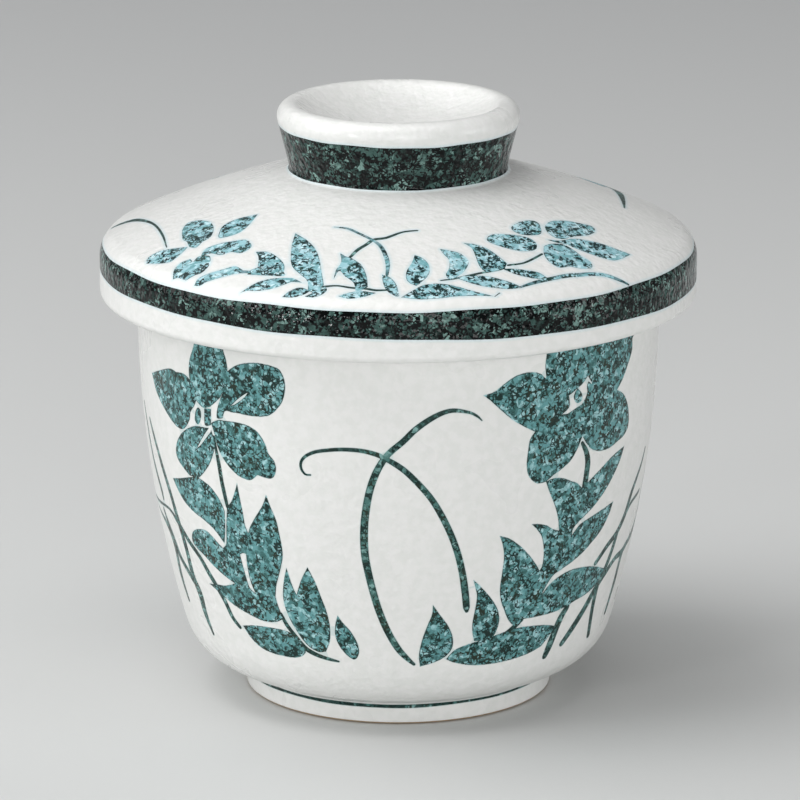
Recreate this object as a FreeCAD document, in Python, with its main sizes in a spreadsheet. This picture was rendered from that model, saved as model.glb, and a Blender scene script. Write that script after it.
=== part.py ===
import FreeCAD, Part
import math
import os
import Sketcher

# A lidded cup for steamed egg custard: a tapered porcelain cup on a low foot
# ring, and a domed lid whose skirt drops over the mouth of the cup and whose
# ring knob has a shallow dish in its top.
# Lengths are millimetres and angles are degrees. Z points up, the axis of the
# cup is the Z axis and the foot ring stands on Z = 0.

SIZES = [
    ("cup_radius", 37.2, "outer radius of the cup at its mouth"),
    ("cup_height", 63.5, "foot to the mouth, which is where the lid rests"),
    ("wall", 3.6, "thickness of the cup's wall"),
    ("upright", 7.5, "how far the wall stands upright below the mouth"),
    ("taper", 6.05, "how far the wall draws in from the mouth to the hip"),
    ("hip_radius", 9.0, "round between the wall and the base"),
    ("base_angle", 22.0, "rise of the base outside the foot, from level"),
    ("overhang", 9.15, "how far the hip stands out past the foot ring"),
    ("foot_height", 3.2, "height at which the base would meet the foot ring"),
    ("foot_ring", 3.0, "width of the foot ring"),
    ("foot_recess", 3.4, "depth of the hollow inside the foot ring"),
    ("foot_root", 0.8, "hollow round where the base meets the foot ring"),
    ("foot_edge", 0.6, "round on the two lower edges of the foot ring"),
    ("recess_corner", 1.2, "hollow round inside the foot ring"),
    ("floor", 4.2, "thickness of the cup's floor"),
    ("floor_corner", 14.0, "round between the floor and the wall, inside"),
    ("lip_round", 1.2, "round on both edges of the mouth"),
    ("skirt_gap", 1.5, "clearance between the skirt and the cup, all round"),
    ("skirt_wall", 3.8, "thickness of the skirt"),
    ("skirt_drop", 5.6, "how far the skirt reaches below the mouth"),
    ("skirt_edge", 1.0, "round on both lower edges of the skirt"),
    ("skirt_root", 1.0, "hollow round between the skirt and the seat"),
    ("side_height", 5.65, "height of the upright side of the lid"),
    ("shoulder", 3.6, "round between the lid's side and its dome"),
    ("arch_height", 17.4, "mouth of the cup to the top of the dome's arch"),
    ("arch_offset", 24.0, "how far past the axis the dome's arch is centred"),
    ("seat_lap", 0.6, "how far the lid's seat reaches inward past the cup's wall"),
    ("seat_edge", 0.5, "round on the inner edge of the seat"),
    ("hollow_height", 8.5, "seat to the middle of the ceiling of the lid's hollow"),
    ("hollow_side", 2.3, "seat to where that ceiling would meet the hollow's side"),
    ("hollow_corner", 2.0, "hollow round at the rim of the lid's hollow"),
    ("knob_radius", 17.2, "largest radius of the knob"),
    ("knob_rise", 4.6, "height of the knob above the top of the dome's arch"),
    ("knob_rim", 2.0, "radius of the knob's rounded rim"),
    ("knob_angle", 14.0, "lean of the knob's side, from upright"),
    ("knob_root", 0.8, "hollow round where the knob meets the dome"),
    ("dish_depth", 5.0, "depth of the dish in the knob"),
]

# The foot ring stands in from the hip, whose round touches the sloping base.
# WALL_CURVE is the radius of the long curve from the hip's round to the
# upright stretch, which it touches at the height WALL_TURN.
FOOT = "(Sizes.cup_radius - Sizes.taper - Sizes.overhang)"
HIP_OUT = "(Sizes.overhang - Sizes.hip_radius)"
HIP_RISE = (
    f"(Sizes.foot_height + {HIP_OUT} * tan(Sizes.base_angle)"
    " + Sizes.hip_radius / cos(Sizes.base_angle))"
)
WALL_TURN = "(Sizes.cup_height - Sizes.upright)"
WALL_DROP = f"({WALL_TURN} - {HIP_RISE})"
WALL_CURVE = f"((Sizes.taper * (Sizes.taper + 2 * Sizes.hip_radius) + {WALL_DROP}^2) / (2 * Sizes.taper))"
FLOOR = "(Sizes.foot_recess + Sizes.floor)"

# The skirt clears the cup, and the lid is as wide as the skirt.
SKIRT_BORE = "(Sizes.cup_radius + Sizes.skirt_gap)"
LID = f"({SKIRT_BORE} + Sizes.skirt_wall)"
SEAT = "(Sizes.cup_radius - Sizes.wall - Sizes.seat_lap)"

# The dome is nearly a cone. Its section is an arch that touches the shoulder
# and is centred past the axis, so that it slopes where the knob stands on it.
# ARCH_OUT and ARCH_RISE run from the arch's centre line and top to the
# shoulder's centre, and ARCH is its radius.
ARCH_OUT = f"({LID} - Sizes.shoulder + Sizes.arch_offset)"
ARCH_RISE = "(Sizes.arch_height + Sizes.skirt_drop - Sizes.side_height)"
ARCH = f"(({ARCH_OUT}^2 + {ARCH_RISE}^2 - Sizes.shoulder^2) / (2 * ({ARCH_RISE} - Sizes.shoulder)))"
KNOB_TOP = "(Sizes.arch_height + Sizes.knob_rise)"

# The hollow's ceiling is centred on the axis, and CEILING is its radius.
SAG = "(Sizes.hollow_height - Sizes.hollow_side)"
CEILING = f"(({SEAT}^2 + {SAG}^2) / (2 * {SAG}))"

# Cutting outlines run this far past the solid they cut.
PAST = 1.0

# Two circles closer than this in radius and height are the same edge.
NEAR = 0.01

ORIGIN = (-1, 1)

doc = FreeCAD.newDocument("LiddedCup")
sheet = doc.addObject("Spreadsheet::Sheet", "Sizes")
for row, (alias, number, meaning) in enumerate(SIZES, start=1):
    sheet.set(f"A{row}", meaning)
    sheet.set(f"B{row}", str(number))
    sheet.setAlias(f"B{row}", alias)
doc.recompute()


def size(expression):
    """The number that an expression in the sheet's sizes gives."""
    return float(sheet.evalExpression(expression))


def section(body, name):
    """An empty sketch in the body's upright plane, with X outward and Y up."""
    plane = next(f for f in body.Origin.OriginFeatures if f.Role == "XZ_Plane")
    sketch = body.newObject("Sketcher::SketchObject", name)
    sketch.AttachmentSupport = [(plane, "")]
    sketch.MapMode = "FlatFace"
    return sketch


def line(sketch, start, end):
    ends = (FreeCAD.Vector(*start, 0), FreeCAD.Vector(*end, 0))
    return sketch.addGeometry(Part.LineSegment(*ends), False)


def arc(sketch, centre, radius, first, last):
    """A round stretch from one angle to the next, counterclockwise, in radians."""
    circle = Part.Circle(FreeCAD.Vector(*centre, 0), FreeCAD.Vector(0, 0, 1), radius)
    return sketch.addGeometry(Part.ArcOfCircle(circle, first, last), False)


def hold(sketch, kind, *places):
    sketch.addConstraint(Sketcher.Constraint(kind, *places))


def hold_on_axis(sketch, edge, place):
    """Keep an edge's start, end or centre on the sketch's upright axis, edge -2."""
    hold(sketch, "PointOnObject", edge, place, -2)


def measure(sketch, name, expression, kind, *places):
    """A driving dimension, bound to the sheet."""
    number = size(expression)
    if kind == "Angle":
        number = math.radians(number)
    index = sketch.addConstraint(Sketcher.Constraint(kind, *places, number))
    sketch.renameConstraint(index, name)
    sketch.setExpression("Constraints." + name, expression)


def chain(sketch, edges):
    """Join each edge's far end to the next edge's near end, all the way round."""
    for edge, following in zip(edges, edges[1:] + edges[:1]):
        hold(sketch, "Coincident", edge, 2, following, 1)


def turn(body, name, kind, sketch):
    """Revolve a section about the Z axis, to add or to cut."""
    doc.recompute()
    before = body.Shape.Volume if kind == "PartDesign::Groove" else math.inf
    feature = body.newObject(kind, name)
    feature.Profile = sketch
    feature.ReferenceAxis = (sketch, ["V_Axis"])
    feature.Angle = 360
    doc.recompute()
    if body.Shape.Volume >= before:
        raise ValueError(name + " removes nothing")


def ring_edges(shape, radius, height):
    """Names of the circular edges at this radius and height."""
    names = []
    for number, edge in enumerate(shape.Edges, start=1):
        if edge.Degenerated or not isinstance(edge.Curve, Part.Circle):
            continue
        middle = edge.Curve.Center
        if abs(edge.Curve.Radius - radius) < NEAR and abs(middle.z - height) < NEAR:
            names.append(f"Edge{number}")
    return names


def round_rings(body, name, expression, rings):
    """Round the ring edges that lie at the given radii and heights."""
    doc.recompute()
    base = body.Tip
    places = [(size(radius), size(height)) for radius, height in rings]
    names = [n for radius, height in places for n in ring_edges(base.Shape, radius, height)]
    if len(names) < len(rings):
        raise ValueError(name + " finds too few edges")
    feature = body.newObject("PartDesign::Fillet", name)
    feature.Base = (base, names)
    feature.setExpression("Radius", expression)
    doc.recompute()


def corner_centre(start, slope, radius, wall_centre, wall_radius):
    """Centre of the round that touches a rising line and, inside, a large circle."""
    along = (math.cos(slope), math.sin(slope))
    first = (start[0] - radius * along[1], start[1] + radius * along[0])
    out, up = first[0] - wall_centre[0], first[1] - wall_centre[1]
    lead = out * along[0] + up * along[1]
    run = math.sqrt(lead ** 2 - out ** 2 - up ** 2 + (wall_radius - radius) ** 2) - lead
    return (first[0] + run * along[0], first[1] + run * along[1])


def wall_edges(sketch, start, slope, sizes, top):
    """A rising line, the round at its end, the long curve and the upright stretch.

    sizes gives the expressions of the round, the long curve and the radius of
    the upright stretch. Returns the line, the round and the upright stretch.
    """
    round_size, curve_size, radius_size = sizes
    corner, curve, radius = (size(text) for text in sizes)
    turn_height = size(WALL_TURN)
    wall_centre = (radius - curve, turn_height)
    centre = corner_centre(start, slope, corner, wall_centre, curve)
    lean = math.atan2(centre[1] - wall_centre[1], centre[0] - wall_centre[0])
    line_end = (centre[0] + corner * math.sin(slope), centre[1] - corner * math.cos(slope))
    base = line(sketch, start, line_end)
    hip = arc(sketch, centre, corner, slope - math.pi / 2, lean)
    side = arc(sketch, wall_centre, curve, lean, 0)
    upright = line(sketch, (radius, turn_height), (radius, top))
    hold(sketch, "Tangent", base, 2, hip, 1)
    hold(sketch, "Tangent", hip, 2, side, 1)
    hold(sketch, "Tangent", side, 2, upright, 1)
    hold(sketch, "Vertical", upright)
    measure(sketch, "corner", round_size, "Radius", hip)
    measure(sketch, "curve", curve_size, "Radius", side)
    measure(sketch, "radius", radius_size, "DistanceX", *ORIGIN, upright, 1)
    measure(sketch, "turn_height", WALL_TURN, "DistanceY", *ORIGIN, upright, 1)
    return base, hip, upright


def cup_outside(body):
    """The cup as a solid block: foot, base, hip, wall and level mouth."""
    sketch = section(body, "CupSection")
    foot, rise, root_radius = size(FOOT), size("Sizes.foot_height"), size("Sizes.foot_root")
    top = size("Sizes.cup_height")
    slope = math.radians(size("Sizes.base_angle"))
    root_height = rise + root_radius * (math.tan(slope) - 1 / math.cos(slope))
    root_centre = (foot + root_radius, root_height)
    base_start = (root_centre[0] - root_radius * math.sin(slope), root_height + root_radius * math.cos(slope))
    under = line(sketch, (0, 0), (foot, 0))
    ring = line(sketch, (foot, 0), (foot, root_height))
    root = arc(sketch, root_centre, root_radius, slope + math.pi / 2, math.pi)
    sizes = ("Sizes.hip_radius", WALL_CURVE, "Sizes.cup_radius")
    base, hip, upright = wall_edges(sketch, base_start, slope, sizes, top)
    mouth = line(sketch, (size("Sizes.cup_radius"), top), (0, top))
    middle = line(sketch, (0, top), (0, 0))
    hold(sketch, "Coincident", under, 1, *ORIGIN)
    hold(sketch, "Coincident", under, 2, ring, 1)
    hold(sketch, "Tangent", ring, 2, root, 2)
    hold(sketch, "Tangent", root, 1, base, 1)
    hold(sketch, "Coincident", upright, 2, mouth, 1)
    hold(sketch, "Coincident", mouth, 2, middle, 1)
    hold(sketch, "Coincident", middle, 2, under, 1)
    hold(sketch, "Horizontal", under)
    hold(sketch, "Vertical", ring)
    hold(sketch, "Horizontal", mouth)
    hold(sketch, "Vertical", middle)
    measure(sketch, "foot", FOOT, "DistanceX", *ORIGIN, ring, 1)
    measure(sketch, "root", "Sizes.foot_root", "Radius", root)
    measure(sketch, "slope", "Sizes.base_angle", "Angle", under, 1, base, 1)
    measure(sketch, "hip_rise", HIP_RISE, "DistanceY", *ORIGIN, hip, 3)
    measure(sketch, "top", "Sizes.cup_height", "DistanceY", *ORIGIN, mouth, 2)
    turn(body, "CupBlock", "PartDesign::Revolution", sketch)


def cup_inside(body):
    """The hollow of the cup: level floor, round corner and the wall's inner face."""
    sketch = section(body, "CavitySection")
    floor, past = size(FLOOR), size("Sizes.cup_height") + PAST
    sizes = ("Sizes.floor_corner", f"{WALL_CURVE} - Sizes.wall", "Sizes.cup_radius - Sizes.wall")
    base, _, upright = wall_edges(sketch, (0, floor), 0, sizes, past)
    cover = line(sketch, (size(sizes[2]), past), (0, past))
    middle = line(sketch, (0, past), (0, floor))
    hold(sketch, "Coincident", upright, 2, cover, 1)
    hold(sketch, "Coincident", cover, 2, middle, 1)
    hold(sketch, "Coincident", middle, 2, base, 1)
    hold_on_axis(sketch, base, 1)
    hold(sketch, "Horizontal", base)
    hold(sketch, "Horizontal", cover)
    hold(sketch, "Vertical", middle)
    measure(sketch, "floor", FLOOR, "DistanceY", *ORIGIN, base, 1)
    measure(sketch, "past", f"Sizes.cup_height + {PAST}", "DistanceY", *ORIGIN, cover, 2)
    turn(body, "Cavity", "PartDesign::Groove", sketch)


def level_recess(body, name, radius_size, low_size, high_size):
    """Cut a plain round recess out of the body, from one height to another."""
    sketch = section(body, name + "Section")
    radius, low, high = size(radius_size), size(low_size), size(high_size)
    corners = [(0, low), (radius, low), (radius, high), (0, high)]
    edges = [line(sketch, a, b) for a, b in zip(corners, corners[1:] + corners[:1])]
    chain(sketch, edges)
    hold(sketch, "Horizontal", edges[0])
    hold(sketch, "Vertical", edges[1])
    hold(sketch, "Horizontal", edges[2])
    hold_on_axis(sketch, edges[0], 1)
    hold_on_axis(sketch, edges[2], 2)
    measure(sketch, "radius", radius_size, "DistanceX", *ORIGIN, edges[1], 1)
    measure(sketch, "low", low_size, "DistanceY", *ORIGIN, edges[1], 1)
    measure(sketch, "high", high_size, "DistanceY", *ORIGIN, edges[1], 2)
    turn(body, name, "PartDesign::Groove", sketch)


def make_cup():
    body = doc.addObject("PartDesign::Body", "Cup")
    body.Label = "cup"
    cup_outside(body)
    cup_inside(body)
    ring = f"{FOOT} - Sizes.foot_ring"
    level_recess(body, "FootRecess", ring, f"-{PAST}", "Sizes.foot_recess")
    round_rings(body, "RecessCorner", "Sizes.recess_corner", [(ring, "Sizes.foot_recess")])
    round_rings(body, "FootEdges", "Sizes.foot_edge", [(FOOT, "0"), (ring, "0")])
    mouth = [("Sizes.cup_radius", "Sizes.cup_height"), ("Sizes.cup_radius - Sizes.wall", "Sizes.cup_height")]
    round_rings(body, "Lip", "Sizes.lip_round", mouth)
    return body


def dome_edges(sketch, touch, flare):
    """The lid's side, shoulder and dome, and the hollow round at the knob's root.

    touch is where the knob's straight side ends, at the top. Returns the first
    edge, the last one and where the knob's side begins.
    """
    radius, shoulder, dome = size(LID), size("Sizes.shoulder"), size(ARCH)
    edge, past = size("Sizes.side_height - Sizes.skirt_drop"), size("Sizes.arch_offset")
    centre = size("Sizes.arch_height") - dome
    lean = math.atan2(edge - centre, radius - shoulder + past)
    root_radius = size("Sizes.knob_root")
    out = touch[0] + root_radius * math.cos(flare) + past
    up = touch[1] - root_radius * math.sin(flare) - centre
    lead = out * math.sin(flare) + up * math.cos(flare)
    run = lead - math.sqrt(lead ** 2 - out ** 2 - up ** 2 + (dome + root_radius) ** 2)
    out, up = out - run * math.sin(flare), up - run * math.cos(flare)
    root_centre, root_lean = (out - past, up + centre), math.atan2(up, out)
    side = line(sketch, (radius, size("-Sizes.skirt_drop")), (radius, edge))
    bend = arc(sketch, (radius - shoulder, edge), shoulder, 0, lean)
    top = arc(sketch, (-past, centre), dome, lean, root_lean)
    root = arc(sketch, root_centre, root_radius, math.pi - flare, math.pi + root_lean)
    hold(sketch, "Vertical", side)
    hold(sketch, "Tangent", side, 2, bend, 1)
    hold(sketch, "Tangent", bend, 2, top, 1)
    hold(sketch, "Tangent", top, 2, root, 2)
    measure(sketch, "past", "Sizes.arch_offset", "DistanceX", top, 3, *ORIGIN)
    measure(sketch, "radius", LID, "DistanceX", *ORIGIN, side, 1)
    measure(sketch, "drop", "-Sizes.skirt_drop", "DistanceY", *ORIGIN, side, 1)
    measure(sketch, "edge", "Sizes.side_height - Sizes.skirt_drop", "DistanceY", *ORIGIN, side, 2)
    measure(sketch, "shoulder", "Sizes.shoulder", "Radius", bend)
    measure(sketch, "dome", ARCH, "Radius", top)
    measure(sketch, "root", "Sizes.knob_root", "Radius", root)
    knob_start = (root_centre[0] - root_radius * math.cos(flare), root_centre[1] + root_radius * math.sin(flare))
    return side, root, knob_start


def lid_outside(body):
    """The lid as a solid block, with the ring knob whose dish runs into its rim."""
    sketch = section(body, "LidSection")
    rim, flare = size("Sizes.knob_rim"), math.radians(size("Sizes.knob_angle"))
    out, up = size("Sizes.knob_radius") - rim, size(KNOB_TOP) - rim
    low, dish = size("-Sizes.skirt_drop"), size(f"{KNOB_TOP} - Sizes.dish_depth")
    sink = up - dish
    bowl = (out ** 2 + sink ** 2 - rim ** 2) / (2 * (rim + sink))
    lean = math.atan2(dish + bowl - up, -out)
    touch = (out + rim * math.cos(flare), up - rim * math.sin(flare))
    under = line(sketch, (0, low), (size(LID), low))
    side, root, knob_start = dome_edges(sketch, touch, flare)
    flank = line(sketch, knob_start, touch)
    bead = arc(sketch, (out, up), rim, -flare, lean)
    bottom = arc(sketch, (0, dish + bowl), bowl, -math.pi / 2, lean - math.pi)
    middle = line(sketch, (0, dish), (0, low))
    hold(sketch, "Coincident", under, 2, side, 1)
    hold(sketch, "Tangent", root, 1, flank, 1)
    hold(sketch, "Tangent", flank, 2, bead, 1)
    hold(sketch, "Tangent", bead, 2, bottom, 2)
    hold(sketch, "Coincident", bottom, 1, middle, 1)
    hold(sketch, "Coincident", middle, 2, under, 1)
    hold(sketch, "Horizontal", under)
    hold_on_axis(sketch, under, 1)
    hold_on_axis(sketch, bottom, 1)
    hold_on_axis(sketch, bottom, 3)
    measure(sketch, "rim", "Sizes.knob_rim", "Radius", bead)
    measure(sketch, "out", "Sizes.knob_radius - Sizes.knob_rim", "DistanceX", *ORIGIN, bead, 3)
    measure(sketch, "up", f"{KNOB_TOP} - Sizes.knob_rim", "DistanceY", *ORIGIN, bead, 3)
    measure(sketch, "flare", "90 - Sizes.knob_angle", "Angle", under, 1, flank, 1)
    measure(sketch, "dish", f"{KNOB_TOP} - Sizes.dish_depth", "DistanceY", *ORIGIN, bottom, 1)
    turn(body, "LidBlock", "PartDesign::Revolution", sketch)


def lid_inside(body):
    """The hollow under the lid, above its seat."""
    sketch = section(body, "HollowSection")
    reach, inner, corner = size(SEAT), size(CEILING), size("Sizes.hollow_corner")
    peak = size("Sizes.hollow_height")
    centre = peak - inner
    rise = math.sqrt((inner - corner) ** 2 - (reach - corner) ** 2)
    lean = math.atan2(rise, reach - corner)
    under = line(sketch, (0, -PAST), (reach, -PAST))
    side = line(sketch, (reach, -PAST), (reach, centre + rise))
    bend = arc(sketch, (reach - corner, centre + rise), corner, 0, lean)
    top = arc(sketch, (0, centre), inner, lean, math.pi / 2)
    middle = line(sketch, (0, peak), (0, -PAST))
    hold(sketch, "Coincident", under, 2, side, 1)
    hold(sketch, "Tangent", side, 2, bend, 1)
    hold(sketch, "Tangent", bend, 2, top, 1)
    hold(sketch, "Coincident", top, 2, middle, 1)
    hold(sketch, "Coincident", middle, 2, under, 1)
    hold(sketch, "Horizontal", under)
    hold(sketch, "Vertical", side)
    hold_on_axis(sketch, under, 1)
    hold_on_axis(sketch, top, 2)
    hold_on_axis(sketch, top, 3)
    measure(sketch, "reach", SEAT, "DistanceX", *ORIGIN, side, 1)
    measure(sketch, "low", f"-{PAST}", "DistanceY", *ORIGIN, side, 1)
    measure(sketch, "corner", "Sizes.hollow_corner", "Radius", bend)
    measure(sketch, "peak", "Sizes.hollow_height", "DistanceY", *ORIGIN, top, 2)
    measure(sketch, "ceiling", CEILING, "Radius", top)
    turn(body, "Hollow", "PartDesign::Groove", sketch)


def make_lid():
    """The lid in its own frame, with Z = 0 at its seat, then placed on the cup."""
    body = doc.addObject("PartDesign::Body", "Lid")
    body.Label = "lid"
    lid_outside(body)
    drop = "-Sizes.skirt_drop"
    level_recess(body, "SkirtBore", SKIRT_BORE, f"{drop} - {PAST}", "0")
    lid_inside(body)
    round_rings(body, "SeatEdge", "Sizes.seat_edge", [(SEAT, "0")])
    round_rings(body, "SkirtRoot", "Sizes.skirt_root", [(SKIRT_BORE, "0")])
    round_rings(body, "SkirtEdges", "Sizes.skirt_edge", [(LID, drop), (SKIRT_BORE, drop)])
    body.setExpression(".Placement.Base.z", "Sizes.cup_height")
    return body


cup = make_cup()
lid = make_lid()
doc.recompute()

for item in doc.Objects:
    if "Invalid" in item.State or "Error" in item.State:
        raise ValueError(item.Name + " failed: " + str(item.State))
for piece in (cup, lid):
    if piece.Shape.isNull() or not piece.Shape.isValid() or len(piece.Shape.Solids) != 1:
        raise ValueError(piece.Label + " has no valid solid")

os.makedirs("parts", exist_ok=True)
for piece in (cup, lid):
    piece.Shape.exportStep(f"parts/{piece.Label}.step")
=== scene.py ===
from math import acos, asin, atan2, ceil, cos, degrees, hypot, pi, radians, sin, sqrt, tan

import bpy
import numpy as np
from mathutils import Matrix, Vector, geometry, kdtree
from mathutils.bvhtree import BVHTree


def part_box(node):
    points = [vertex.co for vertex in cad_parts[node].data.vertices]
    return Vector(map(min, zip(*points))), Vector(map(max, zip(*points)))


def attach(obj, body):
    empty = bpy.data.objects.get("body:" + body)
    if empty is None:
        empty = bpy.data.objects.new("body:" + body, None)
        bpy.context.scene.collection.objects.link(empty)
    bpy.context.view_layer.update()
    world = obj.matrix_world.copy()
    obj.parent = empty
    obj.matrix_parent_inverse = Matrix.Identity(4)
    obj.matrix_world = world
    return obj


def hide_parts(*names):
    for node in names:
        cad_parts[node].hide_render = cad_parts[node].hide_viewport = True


# A lidded cup for steamed egg custard: two turned sections with a painted
# pattern cut into their surface. Lengths are metres unless a name or comment
# says millimetres. The cup stands on Z = 0, and Z is its axis.

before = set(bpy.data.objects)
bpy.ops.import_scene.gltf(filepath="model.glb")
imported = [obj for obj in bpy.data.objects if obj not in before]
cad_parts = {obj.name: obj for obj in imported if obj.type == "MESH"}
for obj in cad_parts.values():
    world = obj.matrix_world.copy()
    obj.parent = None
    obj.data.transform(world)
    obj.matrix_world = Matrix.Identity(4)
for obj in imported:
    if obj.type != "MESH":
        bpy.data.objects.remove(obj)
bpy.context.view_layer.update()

MM = 0.001
NEAR_ZERO = 1e-6
ROUNDING = 1e-9

# Sizes of the frame's two nodes, in millimetres.
cup_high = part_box("cup")[1] / MM
lid_low, lid_high = (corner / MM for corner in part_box("lid"))
CUP_RADIUS = cup_high.x
CUP_HEIGHT = cup_high.z
LID_RADIUS = lid_high.x
LID_TOP = lid_high.z
SKIRT_LOW = lid_low.z

# Sizes of the cup's section, in millimetres and degrees.
WALL = 3.6
UPRIGHT = 7.5
TAPER = 6.05
HIP_ROUND = 9.0
BASE_ANGLE = 22.0
OVERHANG = 9.15
FOOT_HEIGHT = 3.2
FOOT_RING = 3.0
FOOT_RECESS = 3.4
FOOT_ROOT = 0.8
FOOT_EDGE = 0.6
BARE_EDGE = 55.0
RECESS_CORNER = 1.2
FLOOR = 4.2
FLOOR_CORNER = 14.0
LIP_ROUND = 1.2

# Sizes of the lid's section, in millimetres and degrees.
SKIRT_WALL = 3.8
SKIRT_EDGE = 1.0
SKIRT_ROOT = 1.0
SIDE_HEIGHT = 5.65
SHOULDER = 3.6
ARCH_HEIGHT = 17.4
ARCH_OFFSET = 24.0
SEAT_LAP = 0.6
SEAT_EDGE = 0.5
HOLLOW_HEIGHT = 8.5
HOLLOW_SIDE = 2.3
HOLLOW_CORNER = 2.0
KNOB_RADIUS = 17.2
KNOB_RIM = 2.0
KNOB_ANGLE = 14.0
KNOB_ROOT = 0.8
DISH_DEPTH = 5.0

# Fineness of the meshes: millimetres, radians, points round a ring and shares.
AROUND = 256
LEAST_AROUND = 8
ROW_STEP = 1.6
STRAIGHT_STEP = 4.8
ROW_TURN = radians(9)
PLAIN_STEP = 1.3
PAINT_STEP = 0.6
ROW_SHARE = 0.87
NEAR_SHARE = 0.45
FINE_REACH = 1.5
TABLE_STEP = 0.05
EDGE_ROWS = 3
BAND_POINTS = 720
DEEP = 3.0
SAME_POINT = 1e-7

# The mesh on which pixels are cast. OUTLINE_STEP to BLUNT are in pixels.
CAST_ROWS = 8
CAST_AROUND = 512
OUTLINE_STEP = 1.8
PULL_IN = 0.4
BLUNT = 0.7
END_TURNS = [radians(turn) for turn in (45, 90, 135)]

# The photograph's frame is 800 pixels square, and the pixels below are in it.
# Focus, axis and level are in pixels, and the camera's place in millimetres.
PHOTO_SIZE = 800
PHOTO_FOCUS = 5400.0
PHOTO_AXIS = 398.3
PHOTO_LEVEL = 400.0
CAMERA_TARGET = 41.7
CAMERA_DISTANCE = 774.9
CAMERA_RISE = radians(14.89)
SENSOR_WIDTH = 36.0
VIEW_END = 20.0

# What a pixel shows at the cup's middle, in millimetres, and how many times
# wider a stroke may become where the wall turns away.
PIXEL = CAMERA_DISTANCE / PHOTO_FOCUS
STRETCH = 3.4

# The painted rings: heights in millimetres, and the waves of a line drawn by
# hand as (turns round the wall, size in millimetres, phase).
FOOT_LINE_LOW = 2.62, ((1, 0.16, 0.7), (5, 0.04, 0.4), (11, 0.03, 2.0))
FOOT_LINE_HIGH = 3.02, ((1, 0.03, 0.6), (4, 0.03, 1.4), (9, 0.03, 0.3))
SIDE_BAND_LOW = 61.3, ((3, 0.08, 0.4), (8, 0.06, 2.0), (17, 0.04, 1.0))
SIDE_BAND_HIGH = 65.2, ((2, 0.1, 1.1), (9, 0.07, 0.5), (19, 0.05, 2.0))
SIDE_BAND_TILT = 0.018
KNOB_BAND_LOW_WAVES = (5, 0.03, 0.0), (11, 0.02, 1.0)
KNOB_BAND_HIGH = 82.25, ((1, 0.1, 4.4), (6, 0.05, 0.5), (13, 0.04, 2.0))

# How far up the fillet at its root the knob's band starts.
ROOT_SHARE = 0.4


class Section:
    """Half a section of a turned piece, walked from the axis with the material on the left.

    It is a chain of runs and bends that touch. Lengths are millimetres, and
    marks name places along it.
    """

    def __init__(self, radius, height, heading):
        self.steps = []
        self.marks = {}
        self.length = 0.0
        self.end = (radius, height, radians(heading))

    def _walk(self, length, curve):
        self.steps.append((self.length, self.end, curve))
        self.length += length
        self.end = self._place(self.steps[-1], self.length)

    def _place(self, step, along):
        start, (radius, height, heading), curve = step
        run = along - start
        if curve == 0:
            return radius + run * cos(heading), height + run * sin(heading), heading
        turned = heading + curve * run
        radius += (sin(turned) - sin(heading)) / curve
        height -= (cos(turned) - cos(heading)) / curve
        return radius, height, turned

    def run(self, length):
        self._walk(length, 0)

    def bend(self, radius, degrees):
        """Turn left, or right where the radius is negative."""
        self._walk(abs(radius) * radians(degrees), 1 / radius)

    def mark(self, name):
        self.marks[name] = self.length

    def at(self, along):
        """Radius, height and the outward normal's two parts."""
        step = next(s for s in reversed(self.steps) if s[0] <= along + ROUNDING)
        radius, height, heading = self._place(step, along)
        return radius, height, sin(heading), -cos(heading)

    def rows(self, first, last):
        """Places along the section for rings of points, close where it bends."""
        places = []
        ends = [s[0] for s in self.steps[1:]] + [self.length]
        for (start, _, curve), end in zip(self.steps, ends):
            low, high = max(start, first), min(end, last)
            if high - low < ROUNDING:
                continue
            step = min(ROW_STEP, ROW_TURN / abs(curve)) if curve else STRAIGHT_STEP
            count = max(1, ceil((high - low) / step))
            places += [low + (high - low) * i / count for i in range(count)]
        return places + [last]


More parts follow.
